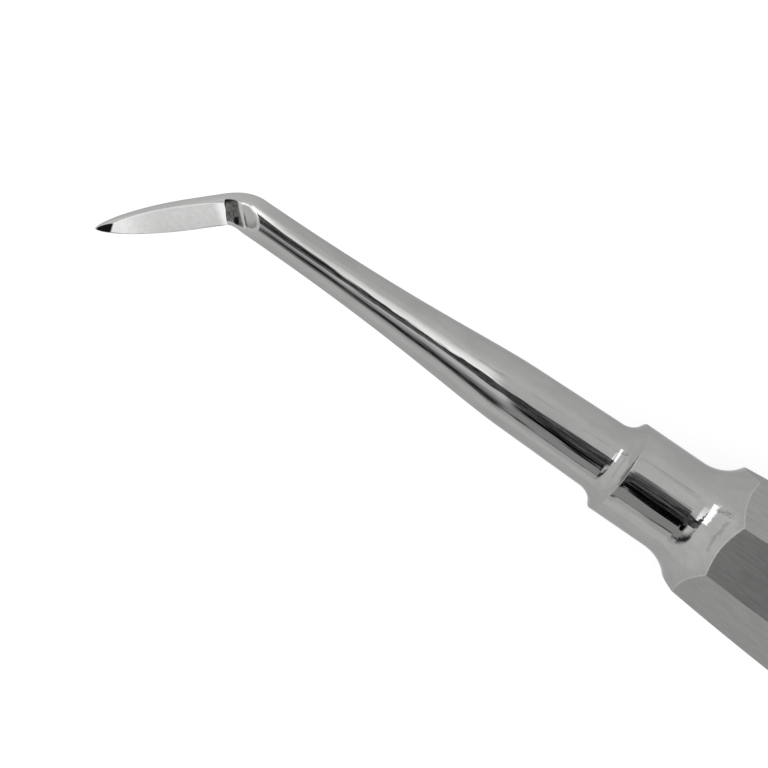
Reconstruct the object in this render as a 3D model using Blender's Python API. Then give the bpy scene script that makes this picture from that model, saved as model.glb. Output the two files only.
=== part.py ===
"""A dental pick elevator: one piece of steel, ground and polished. Blender 4.5, metres, +Z up.

The instrument lies on one flat of its eight-sided handle. The origin is on that flat, midway along
the straight grip. +X runs along the handle away from the blade, and the blade bends towards -Y.
Stations are distances along +X from the collar's rim, where the tapered shank meets the neck.
"""

import math

import bmesh
import bpy
from mathutils import Matrix, Vector

MM = 0.001

# Handle: an eight-sided grip behind a plain round neck
FLAT_COUNT = 8
NECK_RADIUS = 4.23 * MM
NECK_LENGTH = 5.5 * MM
FLARE_RADIUS = 4.35 * MM
SHOULDER_RADIUS = 6.15 * MM
SWELL_LENGTH = 28.0 * MM
GRIP_RADIUS = 7.65 * MM
GRIP_LENGTH = 64.0 * MM
DOME_LENGTH = 4.5 * MM

# Collar: the step from the shank up to the neck
COLLAR_FILLET_RADIUS = 1.9 * MM
RIM_ROUND_RADIUS = 0.12 * MM

# Shank: a round bar that tapers from the collar down to the bend
SHANK_LENGTH = 38.4 * MM
SHANK_ROOT_RADIUS = 2.93 * MM
SHANK_ROOT_LENGTH = 10.0 * MM
SHANK_ROOT_SLOPE = 0.022
SHANK_THIN_RADIUS = 1.69 * MM
THIN_HANDLE_LENGTH = 15.3 * MM
ROOT_HANDLE_LENGTH = 5.2 * MM

# Blade: the bar bent sideways and drawn to a leaf-shaped point
BEND_ANGLE = math.radians(41.4)
BEND_RADIUS = 4.0 * MM
BLADE_LENGTH = 13.2 * MM
BLADE_RADIUS = 1.31 * MM
LEAF_LENGTH = 9.0 * MM
LEAF_POWER = 0.65

# Ground face: a long, slightly hollow flat on the blade
FACE_TURN = math.radians(26)
FACE_HEIGHT = 0.78 * MM
FACE_DROP = 0.019
FACE_HOLLOW_RADIUS = 120.0 * MM

# Cuts of a grinding wheel across the bend, turned from square to the shank
WHEEL_TURN = math.radians(34)

# Run-out: the concave ramp that ends the face at the bend, dipping at the bend's inner side
RUNOUT_RADIUS = 4.5 * MM
RUNOUT_SETBACK = 1.35 * MM
RUNOUT_HEIGHT = 0.98 * MM
RUNOUT_DIP = math.radians(5)

# Pad: a shallow scoop across the bend, just behind the ramp
PAD_WHEEL_RADIUS = 3.6 * MM
PAD_SETBACK = 0.9 * MM
PAD_HEIGHT = 1.41 * MM
PAD_DIP = math.radians(2)

# Point: a short bevel from the ground face down to the tip
POINT_LENGTH = 1.45 * MM
POINT_SKEW = math.radians(26)

# Fineness of the round surfaces
ROUND_SIDES = 48
FILLET_STEPS = 8
RIM_STEPS = 3
TAPER_STEPS = 16
BEND_STEPS = 10
LEAF_STEPS = 14
LEAF_CROWDING = 1.6

# Room that a cutter or the handle's envelope keeps outside the steel
CUT_MARGIN = 6.0 * MM
BLANK_MARGIN = 0.5 * MM
FLARE_END_ANGLE = math.radians(70)

# Places that follow from the sizes
STRAIGHT_TO_BEND = BEND_RADIUS * math.tan(BEND_ANGLE / 2)
BEND_STATION = -SHANK_LENGTH
BEND_POINT = Vector((BEND_STATION, 0, 0))
BLADE_DIRECTION = Vector((-math.cos(BEND_ANGLE), -math.sin(BEND_ANGLE), 0))
INNER_DIRECTION = Vector((math.sin(BEND_ANGLE), -math.cos(BEND_ANGLE), 0))
UP = Vector((0, 0, 1))
FLARE_ANGLE = math.acos(1 - (SHOULDER_RADIUS - NECK_RADIUS) / FLARE_RADIUS)
SHOULDER_STATION = NECK_LENGTH + FLARE_RADIUS * math.sin(FLARE_ANGLE)
GRIP_STATION = SHOULDER_STATION + SWELL_LENGTH
DOME_STATION = GRIP_STATION + GRIP_LENGTH
REAR_STATION = DOME_STATION + DOME_LENGTH
BLANK_RADIUS = GRIP_RADIUS + BLANK_MARGIN
FLAT_SHARE = math.cos(math.pi / FLAT_COUNT)
AXIS_HEIGHT = GRIP_RADIUS * FLAT_SHARE
REST_STATION = (GRIP_STATION + DOME_STATION) / 2


def clear_scene():
    for obj in list(bpy.data.objects):
        bpy.data.objects.remove(obj, do_unlink=True)


def steps(count):
    """Even fractions from 0 to 1, both ends among them."""
    return [i / count for i in range(count + 1)]


def arc_profile(start, radius, first_angle, last_angle, count):
    """Points of an arc from start onwards, as (station, height), between two slopes.

    It bends away from the axis, or with a negative radius back towards it.
    """
    points = []
    for share in steps(count):
        angle = first_angle + (last_angle - first_angle) * share
        along = radius * (math.sin(angle) - math.sin(first_angle))
        rise = radius * (math.cos(first_angle) - math.cos(angle))
        points.append((start[0] + along, start[1] + rise))
    return points


def shank_radius(station):
    """The straight root near the collar, in the slope that the taper joins."""
    return SHANK_ROOT_RADIUS + SHANK_ROOT_SLOPE * (station + SHANK_ROOT_LENGTH)


def shank_profile():
    """The taper from the bend to the collar, one cubic curve and a straight root."""
    thin = Vector((BEND_STATION + STRAIGHT_TO_BEND, SHANK_THIN_RADIUS))
    root = Vector((-SHANK_ROOT_LENGTH, SHANK_ROOT_RADIUS))
    after_thin = thin + Vector((THIN_HANDLE_LENGTH, 0))
    before_root = root - Vector((ROOT_HANDLE_LENGTH, ROOT_HANDLE_LENGTH * SHANK_ROOT_SLOPE))
    points = []
    for t in steps(TAPER_STEPS):
        s = 1 - t
        point = s**3 * thin + 3 * s * s * t * after_thin + 3 * s * t * t * before_root + t**3 * root
        points.append((point.x, point.y))
    return points


def collar_profile():
    """The concave fillet from the shank up to the rim, and the rim's small round."""
    root = shank_radius(-COLLAR_FILLET_RADIUS)
    reach = COLLAR_FILLET_RADIUS + RIM_ROUND_RADIUS
    angle = math.acos(1 - (NECK_RADIUS - root) / reach)
    start = (-COLLAR_FILLET_RADIUS * math.sin(angle), root)
    points = arc_profile(start, COLLAR_FILLET_RADIUS, 0, angle, FILLET_STEPS)
    return points + arc_profile(points[-1], -RIM_ROUND_RADIUS, angle, 0, RIM_STEPS)[1:]


def flare_profile():
    """The concave flare behind the neck, carried on straight until it is wider than the handle."""
    last = max(FLARE_ANGLE, FLARE_END_ANGLE)
    points = arc_profile((NECK_LENGTH, NECK_RADIUS), FLARE_RADIUS, 0.0, last, FILLET_STEPS * 2)
    station, radius = points[-1]
    if radius < BLANK_RADIUS:
        points.append((station + (BLANK_RADIUS - radius) / math.tan(last), BLANK_RADIUS))
    return points


def dome_profile():
    """The rounded rear end, a quarter of an ellipse, without its last point on the axis."""
    points = []
    for share in steps(FILLET_STEPS)[:-1]:
        angle = share * math.pi / 2
        station = DOME_STATION + DOME_LENGTH * math.sin(angle)
        points.append((station, BLANK_RADIUS * math.cos(angle)))
    return points


def blade_radius(from_tip):
    """The leaf outline: full width along the blade, then a rounded taper to the tip."""
    share = min(from_tip / LEAF_LENGTH, 1.0)
    return BLADE_RADIUS * (1 - (1 - share) ** 2) ** LEAF_POWER


def bar_sections():
    """Round sections from the tip to the rear end, as (centre, outward direction, radius)."""
    outer = -INNER_DIRECTION
    straight = BLADE_LENGTH - STRAIGHT_TO_BEND
    sections = []
    for share in steps(LEAF_STEPS)[1:]:
        from_tip = straight * share**LEAF_CROWDING
        centre = BEND_POINT + BLADE_DIRECTION * (BLADE_LENGTH - from_tip)
        sections.append((centre, outer, blade_radius(from_tip)))
    curve_centre = Vector((BEND_STATION + STRAIGHT_TO_BEND, -BEND_RADIUS, 0))
    end_radius = sections[-1][2]
    for share in steps(BEND_STEPS)[1:-1]:
        angle = BEND_ANGLE * (1 - share)
        outward = Vector((-math.sin(angle), math.cos(angle), 0))
        blend = share * share * (3 - 2 * share)
        radius = end_radius + (SHANK_THIN_RADIUS - end_radius) * blend
        sections.append((curve_centre + outward * BEND_RADIUS, outward, radius))
    along_y = Vector((0, 1, 0))
    profile = shank_profile() + collar_profile() + flare_profile() + dome_profile()
    for station, radius in profile:
        sections.append((Vector((station, 0, 0)), along_y, radius))
    return sections


def new_object(name, bm):
    mesh = bpy.data.meshes.new(name)
    bmesh.ops.recalc_face_normals(bm, faces=bm.faces)
    bm.to_mesh(mesh)
    bm.free()
    obj = bpy.data.objects.new(name, mesh)
    bpy.context.scene.collection.objects.link(obj)
    return obj


def skin_rings(bm, rings):
    """Joins each ring of vertices to the next."""
    for ring, following in zip(rings, rings[1:]):
        for i in range(len(ring)):
            j = (i + 1) % len(ring)
            bm.faces.new((ring[i], ring[j], following[j], following[i]))


def close_to_point(bm, ring, point):
    tip = bm.verts.new(point)
    for i in range(len(ring)):
        bm.faces.new((ring[i], ring[(i + 1) % len(ring)], tip))


def make_bar():
    """The round blank from tip to rear end: blade, bend, shank, collar, neck, flare and grip."""
    bm = bmesh.new()
    rings = []
    for centre, outward, radius in bar_sections():
        ring = []
        for i in range(ROUND_SIDES):
            angle = 2 * math.pi * (i + 0.5) / ROUND_SIDES
            spoke = outward * math.cos(angle) + UP * math.sin(angle)
            ring.append(bm.verts.new(centre + spoke * radius))
        rings.append(ring)
    skin_rings(bm, rings)
    close_to_point(bm, rings[0], BEND_POINT + BLADE_DIRECTION * BLADE_LENGTH)
    close_to_point(bm, rings[-1], Vector((REAR_STATION, 0, 0)))
    return new_object("pick_elevator", bm)


def octagon_radius(station):
    """Corner radius of the handle: rising behind the shoulder, then level along the grip."""
    share = (station - SHOULDER_STATION) / SWELL_LENGTH
    gain = GRIP_RADIUS - SHOULDER_RADIUS
    if share < 0:
        return SHOULDER_RADIUS + 2 * gain * share
    share = min(share, 1.0)
    return SHOULDER_RADIUS + gain * (2 * share - share * share)


def make_handle_envelope():
    """Eight flats around the handle, opening to a wide block that clears the shank and blade."""
    wide = SHANK_LENGTH + BLADE_LENGTH + CUT_MARGIN
    open_end = NECK_LENGTH / 3
    outline = [(-wide, wide), (open_end, wide)]
    first = 2 * open_end
    outline.append((first, octagon_radius(first)))
    for share in steps(TAPER_STEPS):
        station = SHOULDER_STATION + SWELL_LENGTH * share
        outline.append((station, octagon_radius(station)))
    outline.append((REAR_STATION + CUT_MARGIN, GRIP_RADIUS))
    bm = bmesh.new()
    rings = []
    for station, radius in outline:
        ring = []
        for i in range(FLAT_COUNT):
            angle = 2 * math.pi * (i + 0.5) / FLAT_COUNT
            ring.append(bm.verts.new((station, radius * math.cos(angle), radius * math.sin(angle))))
        rings.append(ring)
    skin_rings(bm, rings)
    bm.faces.new(rings[0])
    bm.faces.new(rings[-1])
    return new_object("handle_envelope", bm)


def face_frame():
    """Axes of the ground face: across the blade, along it towards the tip, and out of the face."""
    out = UP * math.cos(FACE_TURN) + INNER_DIRECTION * math.sin(FACE_TURN)
    across = BLADE_DIRECTION.cross(out)
    return across, BLADE_DIRECTION, out


def face_outline():
    """The ground face's side view, as (distance from the bend towards the tip, height)."""
    past_tip = BLADE_LENGTH + CUT_MARGIN
    hollow_angle = (BLADE_LENGTH - RUNOUT_SETBACK) / FACE_HOLLOW_RADIUS
    first = math.atan(FACE_DROP) - hollow_angle / 2
    hollow = arc_profile((-BLADE_LENGTH, 0), FACE_HOLLOW_RADIUS, first, first + hollow_angle, FILLET_STEPS)
    lift = FACE_HEIGHT - hollow[-1][1]
    outline = [(-along, height + lift) for along, height in hollow]
    top = FACE_HEIGHT + CUT_MARGIN
    outline.append((RUNOUT_SETBACK, top))
    outline.append((past_tip, top))
    outline.append((past_tip, outline[0][1]))
    return outline


def wheel_frame(dip):
    """Axes of the grinding wheel: its own axis across the bend, along the blade, and up out of the cut."""
    level = Vector((math.sin(WHEEL_TURN), -math.cos(WHEEL_TURN), 0))
    across = level * math.cos(dip) - UP * math.sin(dip)
    out = across.cross(BLADE_DIRECTION).normalized()
    if out.z < 0:
        out = -out
    return across, out.cross(across), out


def make_prism(name, outline, origin, across, along, out, half_width):
    """A prism whose side view is the outline, in the axes given, with its ends half_width away."""
    bm = bmesh.new()
    rings = []
    for side in (-half_width, half_width):
        ring = [bm.verts.new(origin + across * side + along * a + out * h) for a, h in outline]
        rings.append(ring)
    skin_rings(bm, rings)
    bm.faces.new(rings[0])
    bm.faces.new(rings[1])
    return new_object(name, bm)


def make_face_cutter():
    across, along, out = face_frame()
    return make_prism("face_cutter", face_outline(), BEND_POINT, across, along, out, CUT_MARGIN)


def make_point_cutter():
    """A bevel from the ground face down to the tip, turned a little about the face's normal."""
    across, along, out = face_frame()
    turn = Matrix.Rotation(-POINT_SKEW, 3, out)
    height = FACE_HEIGHT - FACE_DROP * BLADE_LENGTH
    slope = height / POINT_LENGTH
    reach = CUT_MARGIN
    outline = [(reach, -slope * reach), (-reach, slope * reach), (-reach, 2 * reach), (reach, 2 * reach)]
    tip = BEND_POINT + BLADE_DIRECTION * BLADE_LENGTH
    return make_prism("point_cutter", outline, tip, turn @ across, turn @ along, out, reach)


def make_wheel(name, radius, below, height, dip):
    """A wheel laid across the bend, whose lowest line lies at that height above the point below it."""
    across, along, out = wheel_frame(dip)
    sides = ROUND_SIDES * 2
    outline = []
    for i in range(sides):
        angle = 2 * math.pi * (i + 0.5) / sides
        outline.append((radius * math.cos(angle), radius * math.sin(angle)))
    origin = below + out * (height + radius)
    return make_prism(name, outline, origin, across, along, out, CUT_MARGIN)


def make_runout_cutter():
    below = BEND_POINT + BLADE_DIRECTION * RUNOUT_SETBACK
    return make_wheel("runout_cutter", RUNOUT_RADIUS, below, RUNOUT_HEIGHT, RUNOUT_DIP)


def make_pad_cutter():
    below = BEND_POINT + Vector((PAD_SETBACK, 0, 0))
    return make_wheel("pad_cutter", PAD_WHEEL_RADIUS, below, PAD_HEIGHT, PAD_DIP)


def shape_with(obj, other, operation):
    """Shapes obj with the other object by a Boolean, which stays out of the render."""
    modifier = obj.modifiers.new(other.name, "BOOLEAN")
    modifier.operation = operation
    modifier.solver = "EXACT"
    modifier.object = other
    other.hide_render = True
    other.display_type = "WIRE"


def polished_steel():
    material = bpy.data.materials.new("polished_steel")
    material.use_nodes = True
    shader = material.node_tree.nodes["Principled BSDF"]
    shader.inputs["Base Color"].default_value = (0.62, 0.62, 0.61, 1)
    shader.inputs["Metallic"].default_value = 1.0
    shader.inputs["Roughness"].default_value = 0.16
    return material


def main():
    clear_scene()
    placed = bpy.data.objects.new("instrument_axis", None)
    bpy.context.scene.collection.objects.link(placed)
    placed.location = (-REST_STATION, 0, AXIS_HEIGHT)

    elevator = make_bar()
    elevator.data.materials.append(polished_steel())
    shapers = [
        (make_handle_envelope(), "INTERSECT"),
        (make_face_cutter(), "DIFFERENCE"),
        (make_runout_cutter(), "DIFFERENCE"),
        (make_pad_cutter(), "DIFFERENCE"),
        (make_point_cutter(), "DIFFERENCE"),
    ]
    for shaper, operation in shapers:
        shape_with(elevator, shaper, operation)
        shaper.parent = placed
    elevator.parent = placed
    elevator.data.shade_smooth()
    elevator.data.set_sharp_from_angle(angle=math.radians(30))


main()
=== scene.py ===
"""The looks of the dental pick elevator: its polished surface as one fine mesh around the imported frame.

Metres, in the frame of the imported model. The instrument lies on one flat of its eight-sided handle,
+X runs along the handle away from the blade, and the blade bends towards -Y. The surface is a skin
of closed rings from the tip to the rear end. Every ring takes the round bar and trims it by the
handle's flats, the ground face and the wheel cuts, and rounds the edges where they meet as a
polishing wheel does.
"""

import math

import bpy
import numpy as np
from mathutils import Euler, Matrix, Vector


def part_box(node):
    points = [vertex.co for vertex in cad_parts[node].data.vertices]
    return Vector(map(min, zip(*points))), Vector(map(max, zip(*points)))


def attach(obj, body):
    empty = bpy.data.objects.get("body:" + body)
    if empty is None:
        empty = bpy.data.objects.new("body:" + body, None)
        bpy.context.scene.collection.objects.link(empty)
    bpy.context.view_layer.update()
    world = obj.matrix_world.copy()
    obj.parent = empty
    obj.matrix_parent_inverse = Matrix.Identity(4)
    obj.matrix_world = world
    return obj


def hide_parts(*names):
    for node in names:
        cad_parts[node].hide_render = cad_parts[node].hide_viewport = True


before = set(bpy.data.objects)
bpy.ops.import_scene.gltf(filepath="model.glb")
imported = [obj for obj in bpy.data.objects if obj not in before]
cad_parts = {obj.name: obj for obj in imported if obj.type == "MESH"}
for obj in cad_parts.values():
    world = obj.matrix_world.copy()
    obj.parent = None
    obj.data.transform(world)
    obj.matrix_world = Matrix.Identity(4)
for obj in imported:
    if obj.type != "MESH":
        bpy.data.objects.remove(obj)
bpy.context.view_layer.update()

MM = 0.001
NODE = "pick_elevator"
NODE_LOW, NODE_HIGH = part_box(NODE)

# Handle: an eight-sided grip behind a plain round neck
FLAT_COUNT = 8
FLAT_SHARE = math.cos(math.pi / FLAT_COUNT)
AXIS_HEIGHT = (NODE_HIGH.z - NODE_LOW.z) / 2
GRIP_RADIUS = AXIS_HEIGHT / FLAT_SHARE
NECK_RADIUS = 4.23 * MM
NECK_LENGTH = 5.5 * MM
FLARE_RADIUS = 4.35 * MM
SHOULDER_RADIUS = 6.15 * MM
SWELL_LENGTH = 28.0 * MM
GRIP_LENGTH = 64.0 * MM
DOME_LENGTH = 4.5 * MM
BLANK_MARGIN = 0.5 * MM

# Collar: the step from the shank up to the neck
COLLAR_FILLET_RADIUS = 1.9 * MM
RIM_ROUND_RADIUS = 0.06 * MM

# Shank: a round bar that tapers from the collar down to the bend
SHANK_LENGTH = 38.4 * MM
SHANK_ROOT_RADIUS = 2.93 * MM
SHANK_ROOT_LENGTH = 10.0 * MM
SHANK_ROOT_SLOPE = 0.022
SHANK_THIN_RADIUS = 1.69 * MM
THIN_HANDLE_LENGTH = 15.3 * MM
ROOT_HANDLE_LENGTH = 5.2 * MM

# Blade: the bar bent sideways and drawn to a leaf-shaped point
BEND_ANGLE = math.radians(41.4)
BEND_RADIUS = 4.0 * MM
BLADE_LENGTH = 13.2 * MM
BLADE_RADIUS = 1.31 * MM
LEAF_LENGTH = 9.0 * MM
LEAF_POWER = 0.65

# Ground face: a long, slightly hollow flat on the blade, swept up at its inner end
FACE_TURN = math.radians(34)
FACE_HEIGHT = 0.66 * MM
FACE_DROP = 0.010
FACE_HOLLOW_RADIUS = 120.0 * MM
FACE_SWEEP_LENGTH = 1.3 * MM
FACE_SWEEP_RISE = 0.1 * MM
MOST_SWEEP = 1.5
FACE_END_LENGTH = 0.16 * MM

# Cuts of a grinding wheel across the bend, turned from square to the shank
WHEEL_TURN = math.radians(34)
RUNOUT_RADIUS = 4.5 * MM
RUNOUT_SETBACK = 1.35 * MM
RUNOUT_HEIGHT = 0.98 * MM
RUNOUT_DIP = math.radians(5)
PAD_WHEEL_RADIUS = 3.6 * MM
PAD_SETBACK = 0.76 * MM
PAD_HEIGHT = 1.41 * MM
PAD_DIP = math.radians(0)

# Where the run-out starts, which way its wall slants and how wide it is
RUNOUT_START = 0.96 * MM
RUNOUT_SLANT = 0.17
RUNOUT_WALL = 0.12 * MM

# Painted light and shade on the wheel cuts: the run-out's hollow painted dark and mottled as a reflection
# of dark, with a painted black spot and a painted black rim, and a light stripe left unpainted before the
# pad; a painted black line of shade along the pad's ridge; and the pad painted darker as shade, more at
# its inner end and its far end. A place is along the blade and across it, from the bend's corner. Each
# mark fades over its own width.
STRIPE_DEPTH = 0.12 * MM
STRIPE_FADE = 0.05 * MM
SPOT_PLACE = (0.14 * MM, 1.16 * MM)
SPOT_REACH = (0.26 * MM, 0.34 * MM)
SPOT_EDGE = 1.15
SPOT_FADE = 0.3
RUNOUT_RIM = -0.40 * MM
RUNOUT_RIM_FADE = 0.12 * MM
PAD_PAINTED_SHADE = 0.22
PAD_END_PAINTED_SHADE = 0.6
PAD_DARK_START = 1.35 * MM
PAD_DARK_FADE = 0.5 * MM
PAD_DARK_END = -1.7 * MM
PAD_DARK_END_FADE = 0.15 * MM
PAD_DARK_END_SIDE = 0.8 * MM
RIDGE_SHADE_DEPTH = 0.10 * MM
RIDGE_SHADE_START = 0.5 * MM
RIDGE_SHADE_FADE = 0.5 * MM
# Where the painted highlight along the pad's outer edge fades out, across the blade
EDGE_HIGHLIGHT_END = 0.85 * MM
EDGE_HIGHLIGHT_FADE = 0.3 * MM

# How much painted reflection the ground face's colour carries, from 0 for dull to 1 for white: even in
# the middle, a painted highlight that brightens towards both ends between these places, and painted shade
# on its lower side
FACE_PAINTED_LEVEL = 0.28
HEEL_PAINTED_HIGHLIGHT = (2.0 * MM, 1.4 * MM)
POINT_PAINTED_HIGHLIGHT = (6.6 * MM, 10.3 * MM)
LOW_SIDE_PAINTED_SHADE = 0.22

# Point: a short bevel from the ground face down to the tip
POINT_LENGTH = 1.52 * MM
POINT_RISE = 0.1 * MM
POINT_SKEW = math.radians(38)

# How far polishing rounds the edges and blunts the tip, and how strong the painted highlight along the
# shoulder's edge is
HANDLE_EDGE_ROUND = 0.06 * MM
SHOULDER_PAINTED_HIGHLIGHT = 0.2
BLADE_EDGE_ROUND = 0.06 * MM
POINT_EDGE_ROUND = BLADE_EDGE_ROUND * 0.4
TIP_TRIM = 0.03 * MM

# How the rays find the surface: a divisor that is no smaller, the reach of a ray that misses a
# wheel, the most that any cut's reach counts, how far a cut lifts off where it ends, how far along
# the shank the blade's cuts are looked for, and the least cosine between a ray and a handle's flat
TINY = 1e-6
FAR = 1.0
MISSED = 5 * MM
LIFT = 2 * MM
CUT_SHANK_LENGTH = 4 * MM
LEAST_LEAN = 0.2

# Fineness of the skin: points to a ring, rays that find them, the share of the points that goes to
# sharp turns, and the sharpest turn that counts
RING_POINTS = 144
RAY_COUNT = 4320
EDGE_SHARE = 0.55
SHARPEST_TURN = 0.5

# Rings along the bar. The blade's straight part has three regions, which end at these shares of it
POINT_END_SHARE = 0.2
HEEL_START_SHARE = 0.85
POINT_RINGS = 57
POINT_CROWDING = 1.5
LEAF_RINGS = 60
HEEL_RINGS = 44
BEND_RINGS = 73
PAD_REACH = 2.6 * MM
PAD_RINGS = 44
SHANK_RINGS = 40
SHANK_STEPS = 400
ROOT_RINGS = 8
FILLET_STEPS = 28
RIM_STEPS = 8
NECK_RINGS = 6
FLARE_STEPS = 76
SWELL_START_SHARE = 0.06
SWELL_CROWDING = 1.2
SWELL_RINGS = 22
GRIP_RINGS = 9
DOME_RINGS = 46
HOLLOW_STEPS = 64

# Places that follow from the sizes, along the straight bar's axis from the collar's rim
STRAIGHT_TO_BEND = BEND_RADIUS * math.tan(BEND_ANGLE / 2)
BEND_STATION = -SHANK_LENGTH
SHANK_START = BEND_STATION + STRAIGHT_TO_BEND
BEND_POINT = np.array((BEND_STATION, 0, 0))
BLADE_DIRECTION = np.array((-math.cos(BEND_ANGLE), -math.sin(BEND_ANGLE), 0))
INNER_DIRECTION = np.array((math.sin(BEND_ANGLE), -math.cos(BEND_ANGLE), 0))
UP = np.array((0.0, 0.0, 1.0))
FLARE_ANGLE = math.acos(1 - (SHOULDER_RADIUS - NECK_RADIUS) / FLARE_RADIUS)
FLARE_END_ANGLE = math.radians(70)
SHOULDER_STATION = NECK_LENGTH + FLARE_RADIUS * math.sin(FLARE_ANGLE)
GRIP_STATION = SHOULDER_STATION + SWELL_LENGTH
DOME_STATION = GRIP_STATION + GRIP_LENGTH
REAR_STATION = DOME_STATION + DOME_LENGTH
BLANK_RADIUS = GRIP_RADIUS + BLANK_MARGIN
RIM_PLACE = Vector((NODE_HIGH.x - REAR_STATION, 0, NODE_LOW.z + AXIS_HEIGHT))
BLADE_STRAIGHT = BLADE_LENGTH - STRAIGHT_TO_BEND
BEND_ARC = BEND_RADIUS * BEND_ANGLE

# Camera, where the photograph was taken from
CAMERA_PLACE = Vector((-87.07, 10.31, 80.37)) * MM
CAMERA_TURN = Euler([math.radians(angle) for angle in (-9.279, 8.096, 33.697)], "XYZ")
CAMERA_LENS = 41.25
CAMERA_CLIPS = (1 * MM, 10.0)
SENSOR_WIDTH = 36.0


def spread(start, end, count):
    """Even places from start, included, to end, left out."""
    return np.linspace(start, end, count, endpoint=False)


def arc_profile(start, radius, first_angle, last_angle, count):
    """Points of an arc from start onwards, as rows of (station, height), between two slopes."""
    angle = np.linspace(first_angle, last_angle, count + 1)
    along = start[0] + radius * (np.sin(angle) - math.sin(first_angle))
    rise = start[1] + radius * (math.cos(first_angle) - np.cos(angle))
    return np.column_stack((along, rise))


def shank_radius(station):
    """The straight root near the collar, in the slope that the taper joins."""
    return SHANK_ROOT_RADIUS + SHANK_ROOT_SLOPE * (station + SHANK_ROOT_LENGTH)


def shank_profile(count):
    """The taper from the bend to the collar, one cubic curve and a straight root."""
    thin = np.array((SHANK_START, SHANK_THIN_RADIUS))
    root = np.array((-SHANK_ROOT_LENGTH, SHANK_ROOT_RADIUS))
    after_thin = thin + np.array((THIN_HANDLE_LENGTH, 0))
    before_root = root - np.array((ROOT_HANDLE_LENGTH, ROOT_HANDLE_LENGTH * SHANK_ROOT_SLOPE))
    t = np.linspace(0, 1, count + 1)[:, None]
    s = 1 - t
    return s**3 * thin + 3 * s * s * t * after_thin + 3 * s * t * t * before_root + t**3 * root


def collar_profile():
    """The concave fillet from the shank up to the rim, and the rim's small round."""
    root = shank_radius(-COLLAR_FILLET_RADIUS)
    reach = COLLAR_FILLET_RADIUS + RIM_ROUND_RADIUS
    angle = math.acos(1 - (NECK_RADIUS - root) / reach)
    start = (-COLLAR_FILLET_RADIUS * math.sin(angle), root)
    fillet = arc_profile(start, COLLAR_FILLET_RADIUS, 0, angle, FILLET_STEPS)
    return np.vstack((fillet, arc_profile(fillet[-1], -RIM_ROUND_RADIUS, angle, 0, RIM_STEPS)[1:]))


def flare_profile():
    """The concave flare behind the neck, carried on straight until it is wider than the handle."""
    last = max(FLARE_ANGLE, FLARE_END_ANGLE)
    flare = arc_profile((NECK_LENGTH, NECK_RADIUS), FLARE_RADIUS, 0.0, last, FLARE_STEPS)
    station, radius = flare[-1]
    end = (station + (BLANK_RADIUS - radius) / math.tan(last), BLANK_RADIUS)
    return np.vstack((flare, end))


def dome_radius(station):
    """The rounded rear end, a quarter of an ellipse."""
    share = np.clip((station - DOME_STATION) / DOME_LENGTH, 0, 1)
    return BLANK_RADIUS * np.sqrt(1 - share * share)


def blade_radius(from_tip):
    """The leaf outline: full width along the blade, then a rounded taper to the tip."""
    share = np.clip(from_tip / LEAF_LENGTH, 0, 1)
    return BLADE_RADIUS * (1 - (1 - share) ** 2) ** LEAF_POWER


def corner_radius(station):
    """Corner radius of the handle's octagon: rising behind the shoulder, then level."""
    share = (station - SHOULDER_STATION) / SWELL_LENGTH
    gain = GRIP_RADIUS - SHOULDER_RADIUS
    rising = SHOULDER_RADIUS + gain * (2 * share - share * share)
    before = SHOULDER_RADIUS + 2 * gain * share
    return np.where(share < 0, before, np.where(share < 1, rising, GRIP_RADIUS))


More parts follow.
